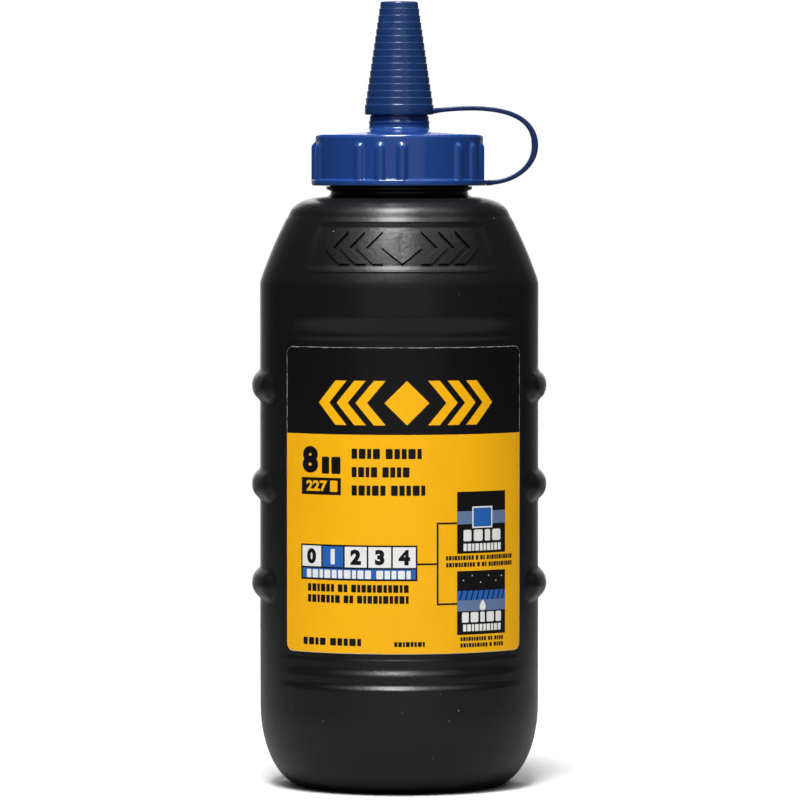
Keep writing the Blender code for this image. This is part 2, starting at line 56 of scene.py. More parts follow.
# Straight lines through corners (radius, height, fillet), with an arc of the fillet's radius at each corner.
def filleted(corners, arcSteps=5):
    points = []
    for index, (radius, height, fillet) in enumerate(corners):
        here = np.array([radius, height], float)
        if fillet == 0 or index in (0, len(corners) - 1):
            points.append(here)
            continue
        before = np.array(corners[index - 1][:2], float) - here
        after = np.array(corners[index + 1][:2], float) - here
        before /= np.linalg.norm(before)
        after /= np.linalg.norm(after)
        half = acos(max(-1.0, min(1.0, float(before @ after)))) / 2
        middle = (before + after) / np.linalg.norm(before + after)
        center = here + middle * fillet / sin(half)
        start = here + before * fillet / tan(half) - center
        end = here + after * fillet / tan(half) - center
        spread = pi - 2 * half
        share = np.linspace(0, 1, arcSteps + 1)[:, None]
        arc = (np.sin((1 - share) * spread) * start + np.sin(share * spread) * end) / sin(spread)
        points.extend(center + arc)
    return np.array(points)


# Points added along a line so that no step is longer than the given spacing.
def refined(line, spacing):
    steps = np.linalg.norm(np.diff(line, axis=0), axis=1)
    pieces = np.maximum(np.ceil(steps / spacing).astype(int), 1)
    places = np.concatenate([np.arange(n) / n + k for k, n in enumerate(pieces)] + [[len(line) - 1]])
    return np.stack([np.interp(places, np.arange(len(line)), line[:, axis]) for axis in range(2)], axis=1)


# Even angles round a full turn.
def circle(count):
    return np.arange(count) * 2 * pi / count


# Grid of points: each (radius, height) row goes round the axis at even azimuths.
def roundGrid(radii, heights, around):
    azimuth = circle(around)
    radii = np.broadcast_to(radii, (len(heights), around))
    x = radii * np.sin(azimuth)
    y = -radii * np.cos(azimuth)
    z = np.broadcast_to(heights[:, None], radii.shape)
    return np.stack([x, y, z], axis=-1)


# A new object in the scene for a mesh, a curve, a light or a camera.
def newObject(name, data):
    item = bpy.data.objects.new(name, data)
    bpy.context.scene.collection.objects.link(item)
    return item


# A closed skin over a grid whose columns wrap round. The rows wrap too, or end in a fan to their middle.
def skin(name, grid, wrapRows=False):
    count, around = grid.shape[:2]
    index = np.arange(count * around).reshape(count, around)
    low = index if wrapRows else index[:-1]
    high = np.roll(index, -1, axis=0) if wrapRows else index[1:]
    quads = np.stack([low, np.roll(low, -1, 1), np.roll(high, -1, 1), high], axis=-1).reshape(-1, 4)
    points = grid.reshape(-1, 3)
    faces = quads.tolist()
    if not wrapRows:
        first, last = index[0], index[-1]
        points = np.vstack([points, grid[0].mean(axis=0), grid[-1].mean(axis=0)])
        poles = (count * around, count * around + 1)
        faces += np.stack([np.roll(first, -1), first, np.full(around, poles[0])], axis=1).tolist()
        faces += np.stack([last, np.roll(last, -1), np.full(around, poles[1])], axis=1).tolist()
    mesh = bpy.data.meshes.new(name)
    mesh.from_pydata((points * mm).tolist(), [], faces)
    mesh.shade_smooth()
    return newObject(name, mesh)


# A piece rides on a body, stands for CAD nodes and takes its finish by name.
def place(piece, body, slotName, finishName, *nodes):
    piece.data.materials.append(materials[finishName])
    if nodes:
        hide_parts(*nodes)
    if body:
        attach(piece, body)
    return piece


def smoothRise(value, low, high):
    share = np.clip((value - low) / (high - low), 0, 1)
    return share * share * (3 - 2 * share)


# The larger of two surfaces, with their meeting line rounded over a width.
def softMax(a, b, width):
    near = np.maximum(width - np.abs(a - b), 0)
    return np.maximum(a, b) + near * near / (4 * width)


# A thin wrapper that adds nodes to a tree and feeds their inputs.
class Nodes:
    def __init__(self, tree):
        self.tree = tree

    # Inputs are named as in Base_Color or numbered as in _0. Each takes a value or another node's socket.
    def feed(self, node, **inputs):
        for key, value in inputs.items():
            socket = node.inputs[int(key[1:]) if key[0] == "_" else key.replace("_", " ")]
            if isinstance(value, bpy.types.NodeSocket):
                self.tree.links.new(value, socket)
            else:
                socket.default_value = value
        return node

    def add(self, kind, settings=None, **inputs):
        node = self.tree.nodes.new(kind)
        for key, value in (settings or {}).items():
            setattr(node, key, value)
        return self.feed(node, **inputs)

    def math(self, operation, a, b=0.0):
        return self.add("ShaderNodeMath", {"operation": operation}, _0=a, _1=b).outputs[0]

    def ramp(self, value, low, high):
        return self.add("ShaderNodeMapRange", {"interpolation_type": "SMOOTHSTEP"}, Value=value,
                        From_Min=low, From_Max=high).outputs[0]

    def mix(self, factor, a, b):
        return self.add("ShaderNodeMix", {"data_type": "RGBA"}, _0=factor, _6=a, _7=b).outputs[2]

    def noise(self, coords, scale, detail=2.0, roughness=0.5):
        return self.add("ShaderNodeTexNoise", Vector=coords, Scale=scale, Detail=detail,
                        Roughness=roughness).outputs["Fac"]

    def axis(self, coords, name):
        return self.add("ShaderNodeSeparateXYZ", Vector=coords).outputs[name]


# A group that takes coordinates and named numbers with these defaults, and gives the listed numbers.
def newGroup(name, defaults, results):
    group = bpy.data.node_groups.new(name, "ShaderNodeTree")
    group.interface.new_socket("Coords", in_out="INPUT", socket_type="NodeSocketVector")
    for label, value in defaults.items():
        socket = group.interface.new_socket(label, in_out="INPUT", socket_type="NodeSocketFloat")
        socket.default_value = value
    for label in results:
        group.interface.new_socket(label, in_out="OUTPUT", socket_type="NodeSocketFloat")
    nodes = Nodes(group)
    return nodes, nodes.add("NodeGroupInput").outputs, nodes.add("NodeGroupOutput")


# Moulded plastic: a faint orange-peel height, a fine grain, and a slow change of roughness and tone.
def mouldedSurfaceGroup():
    nodes, given, out = newGroup(
        "mouldedSurface",
        {"Peel Size": 900.0, "Grain Size": 5200.0, "Tone Size": 45.0, "Grain Share": 0.35,
         "Base Roughness": 0.35, "Roughness Spread": 0.08},
        ("Height", "Roughness", "Tone"))
    peel = nodes.noise(given["Coords"], given["Peel Size"], 1.0)
    grain = nodes.noise(given["Coords"], given["Grain Size"], 2.0, 0.7)
    slow = nodes.noise(given["Coords"], given["Tone Size"], 3.0, 0.6)
    height = nodes.math("ADD", peel, nodes.math("MULTIPLY", grain, given["Grain Share"]))
    spread = nodes.math("MULTIPLY", nodes.math("SUBTRACT", slow, 0.5), given["Roughness Spread"])
    rough = nodes.math("ADD", given["Base Roughness"], nodes.math("MULTIPLY", spread, 2.0))
    nodes.feed(out, Height=height, Roughness=rough, Tone=slow)
    return nodes.tree


# Loose chalk: scattered specks, plus a film that fades in between two heights.
def chalkDustGroup():
    nodes, given, out = newGroup(
        "chalkDust",
        {"Speck Size": 260.0, "Patch Size": 38.0, "Cloud Size": 420.0, "Speck Share": 0.1,
         "Film Low": 0.145, "Film High": 0.16, "Film Strength": 0.2},
        ("Mask",))
    cells = nodes.add("ShaderNodeTexVoronoi", Vector=given["Coords"], Scale=given["Speck Size"]).outputs
    size = nodes.math("MULTIPLY", cells["Color"], given["Speck Share"])
    speck = nodes.math("LESS_THAN", cells["Distance"], size)
    patch = nodes.ramp(nodes.noise(given["Coords"], given["Patch Size"], 3.0), 0.52, 0.68)
    specks = nodes.math("MULTIPLY", speck, patch)
    rise = nodes.ramp(nodes.axis(given["Coords"], "Z"), given["Film Low"], given["Film High"])
    cloud = nodes.ramp(nodes.noise(given["Coords"], given["Cloud Size"], 4.0, 0.65), 0.45, 0.75)
    film = nodes.math("MULTIPLY", nodes.math("MULTIPLY", rise, cloud), given["Film Strength"])
    nodes.feed(out, Mask=nodes.math("MAXIMUM", specks, film))
    return nodes.tree


# A mould's parting line: a thin ridge where the surface crosses the plane between the mould halves.
def partingLineGroup():
    nodes, given, out = newGroup("partingLine", {"Half Width": 0.00018}, ("Height",))
    away = nodes.math("ABSOLUTE", nodes.axis(given["Coords"], "Y"))
    share = nodes.math("DIVIDE", away, given["Half Width"])
    nodes.feed(out, Height=nodes.math("SUBTRACT", 1.0, nodes.ramp(share, 0.0, 1.0)))
    return nodes.tree


# Printed stock: paper fibre height, a slight tone change, and white where the cut edge is worn.
def printedStockGroup():
    nodes, given, out = newGroup(
        "printedStock",
        {"Fibre Size": 1500.0, "Tone Size": 60.0, "Chip Size": 700.0, "Edge Distance": 1.0,
         "Wear Width": 0.22},
        ("Height", "Tone", "Worn Edge"))
    fibre = nodes.noise(given["Coords"], given["Fibre Size"], 3.0, 0.6)
    tone = nodes.noise(given["Coords"], given["Tone Size"], 3.0, 0.5)
    chips = nodes.noise(given["Coords"], given["Chip Size"], 3.0, 0.7)
    reach = nodes.math("MULTIPLY", given["Wear Width"], nodes.ramp(chips, 0.35, 0.75))
    share = nodes.math("DIVIDE", given["Edge Distance"], nodes.math("ADD", reach, 0.05))
    worn = nodes.math("SUBTRACT", 1.0, nodes.ramp(share, 0.6, 1.2))
    nodes.feed(out, Height=fibre, Tone=tone, Worn_Edge=worn)
    return nodes.tree


groups = {
    "surface": mouldedSurfaceGroup(),
    "dust": chalkDustGroup(),
    "parting": partingLineGroup(),
    "stock": printedStockGroup(),
}


def newMaterial(name):
    material = bpy.data.materials.new(name)
    material.use_nodes = True
    nodes = Nodes(material.node_tree)
    shader = material.node_tree.nodes["Principled BSDF"]
    coords = nodes.add("ShaderNodeTexCoord").outputs["Object"]
    return material, nodes, shader, coords


def useGroup(nodes, key, **inputs):
    return nodes.add("ShaderNodeGroup", {"node_tree": groups[key]}, **inputs).outputs


# A shader's own inputs, and a bump from a height and a distance.
def finish(nodes, shader, height, distance, **inputs):
    normal = nodes.add("ShaderNodeBump", Height=height, Distance=distance, Strength=1.0).outputs["Normal"]
    nodes.feed(shader, Normal=normal, **inputs)


# The film of dust fades in between two heights in metres, and its third value is its strength.
plasticLook = dict(
    bottleBlack=dict(
        deep=(0.0038, 0.0038, 0.0042), light=(0.0062, 0.0062, 0.0068), specular=0.4, rough=0.32, spread=0.07,
        bump=0.00004, grain=0.35, specks=0.07, film=(0.146, 0.152, 0.06), parting=3.0, coat=0.0),
    closureBlue=dict(
        deep=(0.010, 0.045, 0.200), light=(0.013, 0.053, 0.235), specular=0.5, rough=0.14, spread=0.05,
        grain=0.15, specks=0.03, film=(0.163, 0.1645, 0.05), coat=0.25),
    # The tip cap's blue is the closure's blue made darker: painted shade on the cap.
    capBlueShaded=dict(
        deep=(0.008, 0.029, 0.105), light=(0.011, 0.035, 0.128), specular=0.45, rough=0.15, spread=0.06,
        grain=0.25, specks=0.04, film=(0.17, 0.20, 0.06), coat=0.1),
    strapBlue=dict(
        deep=(0.004, 0.018, 0.080), light=(0.006, 0.024, 0.105), specular=0.4, rough=0.30, spread=0.06,
        grain=0.3, specks=0.03, film=(0.15, 0.18, 0.04), coat=0.0),
)
plasticShared = dict(
    bump=0.00002, parting=0.0, dust=(0.22, 0.27, 0.38), dustRough=0.4, coatRough=0.12, index=1.5,
)


def mouldedPlastic(name):
    look = {**plasticShared, **plasticLook[name]}
    material, nodes, shader, coords = newMaterial(name)
    filmLow, filmHigh, filmStrength = look["film"]
    surface = useGroup(nodes, "surface", Coords=coords, Grain_Share=look["grain"],
                       Base_Roughness=look["rough"], Roughness_Spread=look["spread"])
    dust = useGroup(nodes, "dust", Coords=coords, Speck_Share=look["specks"], Film_Low=filmLow,
                    Film_High=filmHigh, Film_Strength=filmStrength)["Mask"]
    color = nodes.mix(surface["Tone"], (*look["deep"], 1), (*look["light"], 1))
    dusty = nodes.mix(dust, color, (*look["dust"], 1))
    rough = nodes.math("ADD", surface["Roughness"], nodes.math("MULTIPLY", dust, look["dustRough"]))
    height = surface["Height"]
    if look["parting"]:
        ridge = useGroup(nodes, "parting", Coords=coords)["Height"]
        height = nodes.math("ADD", height, nodes.math("MULTIPLY", ridge, look["parting"]))
    finish(nodes, shader, height, look["bump"], Base_Color=dusty, Roughness=rough, IOR=look["index"],
           Specular_IOR_Level=look["specular"], Coat_Weight=look["coat"], Coat_Roughness=look["coatRough"])
    return material


inkColors = dict(
    inkBlack=(0.0028, 0.0028, 0.0030),
    inkWhite=(0.86, 0.86, 0.84),
    inkBlue=(0.020, 0.125, 0.46),
    inkGreyBlue=(0.13, 0.20, 0.36),
    inkYellow=(1.0, 0.49, 0.004),
)
labelFinish = dict(
    rough=0.38, specular=0.25, coat=0.08, coatRough=0.2, bump=0.000012, darkest=0.94, toneSpread=0.12,
    wornRim=(0.46, 0.43, 0.38),
)


def printFinish(nodes, shader, stock, color):
    f = labelFinish
    shade = nodes.math("ADD", f["darkest"], nodes.math("MULTIPLY", stock["Tone"], f["toneSpread"]))
    toned = nodes.add("ShaderNodeVectorMath", {"operation": "SCALE"}, _0=color, Scale=shade).outputs[0]
    finish(nodes, shader, stock["Height"], f["bump"], Base_Color=toned, Roughness=f["rough"],
           Specular_IOR_Level=f["specular"], Coat_Weight=f["coat"], Coat_Roughness=f["coatRough"])


def printedInk(name):
    material, nodes, shader, coords = newMaterial(name)
    color = nodes.add("ShaderNodeRGB").outputs[0]
    color.default_value = (*inkColors[name], 1)
    printFinish(nodes, shader, useGroup(nodes, "stock", Coords=coords), color)
    return material


# Yellow stock with a black header above a level, and a pale worn rim that reads the edgeDistance attribute.
def labelStock(name, headerLow):
    material, nodes, shader, coords = newMaterial(name)
    edge = nodes.add("ShaderNodeAttribute", {"attribute_name": "edgeDistance"}).outputs["Fac"]
    stock = useGroup(nodes, "stock", Coords=coords, Edge_Distance=edge)
    header = nodes.math("GREATER_THAN", nodes.axis(coords, "Z"), headerLow * mm)
    ink = nodes.mix(header, (*inkColors["inkYellow"], 1), (*inkColors["inkBlack"], 1))
    rimmed = nodes.mix(stock["Worn Edge"], ink, (*labelFinish["wornRim"], 1))
    printFinish(nodes, shader, stock, rimmed)
    return material


# Two noises, lumps and grains, each with a scale, a detail and a roughness.
powderLook = dict(
    lumps=(260.0, 6.0, 0.7), grains=(3200.0, 3.0, 0.8), grainShare=0.4, bump=0.0004,
    deep=(0.016, 0.075, 0.36), light=(0.045, 0.16, 0.62), rough=0.95, specular=0.15,
)


def powder(name):
    look = powderLook
    material, nodes, shader, coords = newMaterial(name)
    lumps = nodes.noise(coords, *look["lumps"])
    grains = nodes.noise(coords, *look["grains"])
    color = nodes.mix(lumps, (*look["deep"], 1), (*look["light"], 1))
    height = nodes.math("ADD", lumps, nodes.math("MULTIPLY", grains, look["grainShare"]))
    finish(nodes, shader, height, look["bump"], Base_Color=color, Roughness=look["rough"],
           Specular_IOR_Level=look["specular"])
    return material


foamLook = dict(cells=1600.0, deep=(0.66, 0.66, 0.64), light=(0.84, 0.84, 0.82), rough=0.6, bump=0.0001)


def foam(name):
    look = foamLook
    material, nodes, shader, coords = newMaterial(name)
    cells = nodes.add("ShaderNodeTexVoronoi", Vector=coords, Scale=look["cells"]).outputs["Distance"]
    color = nodes.mix(cells, (*look["deep"], 1), (*look["light"], 1))
    finish(nodes, shader, cells, look["bump"], Base_Color=color, Roughness=look["rough"])
    return material


materials = {
    "bottle": mouldedPlastic("bottleBlack"),
    "closure": mouldedPlastic("closureBlue"),
    # The cap takes the darker blue that carries painted shade.
    "cap": mouldedPlastic("capBlueShaded"),
    "strap": mouldedPlastic("strapBlue"),
    "chalk": powder("chalkPowder"),
    "foam": foam("foamRing"),
}
materials.update({name: printedInk(name) for name in inkColors})
print("stage: materials made")


# Each row has two heights and a spacing, and each panel step has two heights and a share of the depth.
# The crown's arc has its middle's two offsets, its reach past the shoulder, its rise and its end angles.
bottle = dict(
    rows=((24.0, 36.0, 0.2), (36.0, 110.0, 0.54), (110.0, 122.0, 0.35)), shaped=(24.0, 142.0), radius=34.8,
    barrelTop=125.5, wall=1.1, around=240, innerWall=(119.0, 22.0), footCorner=(11.1, 20.3), footCut=0.3,
    footRing=4.2, floorInset=2.4, pushUp=2.2, shoulderTop=143.3, shoulderRadius=27.3, shoulderBulge=0.4,
    crown=3.7, crownArc=(1.5, -0.3, 0.2, 1.3, 16, 84), panelDepth=2.1, panelHalf=58, panelSharp=0.35,
    panelFade=0.1, panelLow=((26.1, 27.9, 0.42), (29.4, 31.8, 0.44), (33.3, 34.2, 0.14)),
    panelHigh=((111.8, 113.2, 0.2), (113.6, 118.2, 0.8)), neck=17.3, bore=15.2, waist=17.15, bead=18.25,
    beadLow=149.0, beadTop=149.65, mouth=159.7,
)
grips = dict(count=3, middle=75.4, pitch=24.7, halfHeight=3.9, reach=2.05, root=1.2, half=27, blend=0.9)
plaque = dict(low=129.6, high=140.5, half=42, depth=0.22, soft=0.5, softSides=3)


# The flatter cylinder of a label panel: its radius, and how far its axis is set back from the bottle's.
def flatCylinder():
    edge = radians(bottle["panelHalf"])
    edgeOut = bottle["radius"] * sin(edge)
    middle = bottle["radius"] - bottle["panelDepth"]
    rise = middle - bottle["radius"] * cos(edge)
    flatRadius = (edgeOut ** 2 + rise ** 2) / (2 * rise)
    return flatRadius, flatRadius - middle


panelRadius, panelSetback = flatCylinder()
coneFoot, coneHead = (34.45, 126.9), (27.16, 143.5)      # ends of the shoulder's slope
coneSlope = atan2(coneFoot[0] - coneHead[0], coneHead[1] - coneFoot[1])


# The shoulder's bulge over its slope, at a share of the way up it.
def shoulderBulge(share):
    return bottle["shoulderBulge"] * 4 * share * (1 - share)


# The base radius and the shoulder's bulge, less the panels and the plaque, joined with the grip ribs.
def bottleSurface(radii, heights, azimuth):
    b, g, p = bottle, grips, plaque
    fromPanel = np.abs(azimuth)
    fromPanel = np.minimum(fromPanel, pi - fromPanel)
    side = panelSetback * np.sin(fromPanel)
    lens = np.sqrt(panelRadius ** 2 - side ** 2) - panelSetback * np.cos(fromPanel)
    depth = softMax(b["radius"] - lens, np.zeros_like(lens), b["panelSharp"])
    edge = radians(b["panelHalf"])
    depth = depth * (1 - smoothRise(fromPanel, edge, edge + b["panelFade"]))
    low, high = (sum(part * smoothRise(heights, start, end) for start, end, part in b[key])
                 for key in ("panelLow", "panelHigh"))
    inPanel = np.clip(low * (1 - high), 0, 1)[:, None]
    upShoulder = np.clip((heights - coneFoot[1]) / (coneHead[1] - coneFoot[1]), 0, 1)
    surface = (radii + shoulderBulge(upShoulder))[:, None] - inPanel * depth[None, :]
    fromFront = np.degrees(np.abs(azimuth))
    inPlaque = (smoothRise(heights, p["low"], p["low"] + p["soft"])
                * (1 - smoothRise(heights, p["high"] - p["soft"], p["high"])))[:, None]
    sides = smoothRise(fromFront, p["half"], p["half"] + p["softSides"])
    inPlaque = inPlaque * (1 - sides)[None, :]
    surface = surface - p["depth"] * inPlaque
    fromSide = np.abs(np.abs(azimuth) - pi / 2) * b["radius"]
    straight = radians(g["half"]) * b["radius"] - g["halfHeight"]
    along = np.maximum(fromSide - straight, 0)[None, :]
    for number in range(g["count"]):
        middle = g["middle"] + (number - (g["count"] - 1) / 2) * g["pitch"]
        away = (along ** 2 + (heights[:, None] - middle) ** 2) / g["halfHeight"] ** 2
        bulge = np.sqrt(np.maximum(1 - away, 0))
        rib = b["radius"] - g["root"] + (g["reach"] + g["root"]) * bulge
        surface = softMax(surface, np.where(away < 1, rib, 0), g["blend"])
    return surface


def makeBottle():
    b = bottle
    halfOut, halfUp = b["footCorner"]
    centerRadius, centerHeight = b["radius"] - halfOut, halfUp - b["footCut"]
    angle = np.linspace(-asin(centerHeight / halfUp), 0, 26)
    corner = np.stack([centerRadius + halfOut * np.cos(angle), centerHeight + halfUp * np.sin(angle)], axis=1)
    footOut = corner[0, 0]
    floorEdge = footOut - b["floorInset"] * b["footRing"]
    base = filleted([(2, b["pushUp"], 0), (floorEdge, b["pushUp"], 4.0),
                     (footOut - b["footRing"], 0, 1.5), (footOut - 0.4, 0, 0)])
    barrel = np.vstack([refined(np.array([(b["radius"], low), (b["radius"], high)]), step)[:-1]
                        for low, high, step in b["rows"]])
    arcOut, arcUp, arcReach, arcRise, arcStart, arcEnd = b["crownArc"]
    crownRadius, crownHeight = b["neck"] + arcOut, b["shoulderTop"] + arcUp * b["crown"]
    turn = np.linspace(radians(arcStart), radians(arcEnd), 18)
    crown = np.stack([crownRadius + (b["shoulderRadius"] - crownRadius + arcReach) * np.cos(turn),
                      crownHeight + arcRise * b["crown"] * np.sin(turn)], axis=1)
    shoulder = filleted([(b["radius"], b["rows"][-1][1], 0), (b["radius"], b["barrelTop"] + 0.6, 6.0),
                         (*crown[0], 0)], 10)
    crownTop, inside = b["shoulderTop"] + b["crown"], b["radius"] - b["wall"]
    wallTop, wallLow = b["innerWall"]
    neck = filleted([(*crown[-1], 0), (b["waist"], crownTop + 0.15, 1.2),
                     (b["waist"], b["beadLow"] - 0.5, 0.2), (b["bead"], b["beadLow"], 0.2),
                     (b["bead"], b["beadTop"], 0.25),
                     (b["neck"], b["beadTop"], 0.2), (b["neck"], b["mouth"], 0.35),
                     (b["bore"], b["mouth"], 0.35), (b["bore"], crownTop + 0.6, 1.6),
                     (b["shoulderRadius"] - 1.4, b["shoulderTop"] - 0.6, 2.5),
                     (inside, b["barrelTop"] - 0.2, 5.0), (inside, wallTop, 0)])
    innerWall = np.array([(inside, wallTop), (inside, wallLow)])
    innerFoot = corner[::-1] - np.array([b["wall"], 0])
    innerFoot[:, 1] = np.maximum(innerFoot[:, 1], 0.4) + b["wall"] * 0.7
    floor = np.array([(floorEdge, b["pushUp"] + b["wall"]), (2.0, b["pushUp"] + b["wall"])])
    outer = [refined(base, 1.6), corner[1:], barrel[1:], refined(shoulder, 0.55), crown[1:-1],
             refined(neck, 1.0)]
    inner = [refined(innerWall, 2.2)[1:-1], innerFoot[::2], floor]
    profile = np.vstack(outer + inner)
    inwardFrom = sum(len(part) for part in outer)
    azimuth = (circle(b["around"]) + pi) % (2 * pi) - pi
    radii, heights = profile[:, 0].copy(), profile[:, 1]
    onInside = np.arange(len(profile)) >= inwardFrom
    shaped = bottleSurface(np.where(onInside, radii + b["wall"], radii), heights, azimuth)
    shaped = shaped - (onInside * b["wall"])[:, None]
    low, high = b["shaped"]
    shaped = np.where(((heights > low) & (heights < high))[:, None], shaped, radii[:, None])
    piece = skin("bottle_shell", roundGrid(shaped, heights, b["around"]))
    place(piece, "bottle", "bottle_black", "bottle", "bottle")


thread = dict(
    lead=25.4 / 6, depth=1.35, root=2.3, crest=1.0, embed=0.4, fade=0.07, azimuth=37.3, neckTurns=1.5,
    neckStart=1.3, closureTurns=1.25, closureStart=1.7, rowsPerTurn=110,
)


# A rounded trapezoid section carried up a right-hand helix that sinks into its wall at both ends.
def threadPiece(name, rootRadius, direction, base, firstTurn, turns):
    t = thread
    turn = np.linspace(0, turns, int(turns * t["rowsPerTurn"]))
    size = np.minimum(1, np.minimum(turn, turns - turn) / t["fade"] - 0.2)
    angle = np.radians(t["azimuth"]) + 2 * pi * (firstTurn + turn)
    level = base + t["lead"] * (firstTurn + turn)
    halfRoot, halfCrest = t["root"] / 2, t["crest"] / 2
    rising = [0.7 * t["depth"], 0.93 * t["depth"], t["depth"]]
    out = np.array([-t["embed"], *rising, *rising[::-1], -t["embed"]])
    upper = [halfCrest - 0.15, halfCrest + 0.08, halfCrest + 0.25, halfRoot]
    up = np.array([-height for height in upper[::-1]] + upper)
    reach = np.where(out[None, :] > 0, out[None, :] * size[:, None], out[None, :])
    radius = rootRadius + direction * reach
    points = np.stack([radius * np.sin(angle)[:, None], -radius * np.cos(angle)[:, None],
                       level[:, None] + up[None, :] * direction], axis=-1)
    return skin(name, points)


def makeThreads():
    base = bottle["beadTop"] + thread["neckStart"]
    neck = threadPiece("neck_thread", bottle["neck"], 1, base, 0, thread["neckTurns"])
    place(neck, "bottle", "bottle_black", "bottle")
    laneBase = base - thread["lead"] / 2
    first = (closure["rimLow"] + thread["closureStart"] - laneBase) / thread["lead"]
    inner = threadPiece("closure_thread", closure["bore"], -1, laneBase, first, thread["closureTurns"])
    place(inner, "closure", "closure_blue", "closure")


closure = dict(
    around=600, bore=19.0, skirt=21.1, rim=22.1, rimLow=149.9, rimTop=151.4, deckLow=161.3, deckTop=162.6,
    crown=1.2, deckBend=(14.3, 0.74, 8.0), edge=0.9, ribReach=0.9, ribRadius=1.45, ribTop=159.3, groups=5,
    perGroup=3, ribPitch=15, firstGroup=-14.4, blend=0.38, collar=7.42, collarTop=167.2,
    bead=(7.74, 165.4, 166.2), collarFoot=7.65, spoutTop=190.3, spoutWall=1.2, spoutLow=7.15, spoutTip=3.72,
    ribSpacing=0.38, plainSpacing=1.6,
)


# Half-round upright ribs: a circle's arc across, and a ball's arc over their tops.
def ribbedRadius(radii, heights, azimuth):
    c = closure
    surface = np.repeat(radii[:, None], len(azimuth), axis=1)
    inRibs = (heights > c["rimLow"] + 0.8) & (heights < c["deckTop"] - 0.4)
    inRibs &= radii > c["skirt"] - 0.6
    over = np.maximum(heights - c["ribTop"], 0)[:, None]
    for group in range(c["groups"]):
        for number in range(c["perGroup"]):
            inGroup = (number - (c["perGroup"] - 1) / 2) * c["ribPitch"]
            at = radians(c["firstGroup"] + 360 / c["groups"] * group + inGroup)
            across = (azimuth - at + pi) % (2 * pi) - pi
            away = ((across * c["skirt"])[None, :] ** 2 + over ** 2) / c["ribRadius"] ** 2
            rib = c["skirt"] + c["ribReach"] - c["ribRadius"] * (1 - np.sqrt(np.maximum(1 - away, 0)))
            rib = np.where((away < 1) & inRibs[:, None], rib, 0)
            surface = softMax(surface, rib, c["blend"])
    return surface


def makeClosure():
    c = closure
    inlet = c["spoutLow"] - c["spoutWall"]
    bead, beadLow, beadTop = c["bead"]
    bendRadius, bendRise, bendFillet = c["deckBend"]
    corners = [(c["bore"] + 0.6, c["rimLow"], 0), (c["bore"], c["rimLow"], 0.3),
               (c["bore"], c["deckLow"], 0.5), (inlet, c["deckLow"], 0.5), (inlet, tipCap["low"], 1.0),
               (c["spoutTip"] - c["spoutWall"], c["spoutTop"], 0.3), (c["spoutTip"], c["spoutTop"], 0.45),
               (c["spoutLow"], tipCap["low"], 0.5), (c["spoutLow"], c["collarTop"], 0.1),
               (c["collar"], c["collarTop"], 0.2), (c["collar"], beadTop, 0.15), (bead, beadLow + 0.1, 0.12),
               (c["collar"] + 0.1, beadLow - 0.25, 0.15),
               (c["collarFoot"], c["deckTop"] + c["crown"] + 0.1, 0.9),
               (bendRadius, c["deckTop"] + bendRise * c["crown"], bendFillet),
               (c["skirt"], c["deckTop"], c["edge"]),
               (c["skirt"], c["rimTop"] + 0.1, 0.3), (c["rim"], c["rimTop"] - 0.05, 0.35),
               (c["rim"], c["rimLow"], 0.45), (c["bore"] + 0.6, c["rimLow"], 0)]
    line = filleted(corners, 5)[:-1]
    skirtPart = (line[:, 0] > c["skirt"] - 1) & (line[:, 1] > c["rimLow"])
    first = int(np.argmax(skirtPart))
    profile = np.vstack([refined(line[:first], c["plainSpacing"])[:-1],
                         refined(line[first:], c["ribSpacing"])])
    radii, heights = profile[:, 0], profile[:, 1]
    surface = ribbedRadius(radii, heights, circle(c["around"]))
    piece = skin("closure_shell", roundGrid(surface, heights, c["around"]), True)
    place(piece, "closure", "closure_blue", "closure", "closure")


tipCap = dict(
    around=180, low=167.5, ringTop=170.2, top=195.8, ring=8.65, cone=8.4, tip=4.55, terraces=15, ledge=0.2,
    ledgeSoft=0.06, ledgeDraft=0.04, topSoft=0.6, wall=1.3, roof=2.0, pin=1.7, pinLength=5.0,
)


def makeTipCap():
    t = tipCap
    slope = (t["cone"] - t["tip"]) / (t["top"] - t["ringTop"])
    coneAt = lambda height: t["cone"] - slope * (height - t["ringTop"])
    pitch = (t["top"] - t["ringTop"]) / t["terraces"]
    mouth = (coneAt(t["low"]) - t["wall"] + 0.05, t["low"], 0)
    outer = [mouth, (t["ring"], t["low"], 0.35), (t["ring"], t["ringTop"], 0.35)]
    for number in range(t["terraces"]):
        low = t["ringTop"] + number * pitch
        outer += [(coneAt(low), low, t["ledgeSoft"]),
                  (coneAt(low) - t["ledgeDraft"], low + pitch - t["ledge"], t["ledgeSoft"])]
    outer[-1] = (coneAt(low) - 0.06, low + pitch, t["topSoft"])
    outer += [(0.3, t["top"], 0)]
    roofLow = t["top"] - t["roof"]
    pinLow = roofLow - t["pinLength"]
    inner = [mouth, (coneAt(roofLow) - t["wall"], roofLow, 0.4), (t["pin"], roofLow, 0.3),
             (t["pin"], pinLow, 0.5), (0.3, pinLow, 0)]
    line = np.vstack([filleted(inner[::-1], 4), filleted(outer, 4)[1:]])
    profile = refined(line, 1.2)
    piece = skin("tip_cap_shell", roundGrid(profile[:, :1], profile[:, 1], t["around"]))
    place(piece, "tip_cap", "closure_blue", "cap", "tip_cap")


strap = dict(
    width=3.0, thickness=1.2, bendThickness=1.65, bendReach=5.0, around=24, flare=1.6, flareReach=1.6,
    capFlare=0.35, rimFlare=0.3, start=(8.1, 168.45), bend=(33.9, 159.85), end=(21.6, 150.58), rise=2.4,
    capHold=(8.95, 168.45), rimHold=(22.4, 150.55), fullness=(0.71, 0.84, 0.55, 0.6), overlap=0.4, tuck=0.9,
)


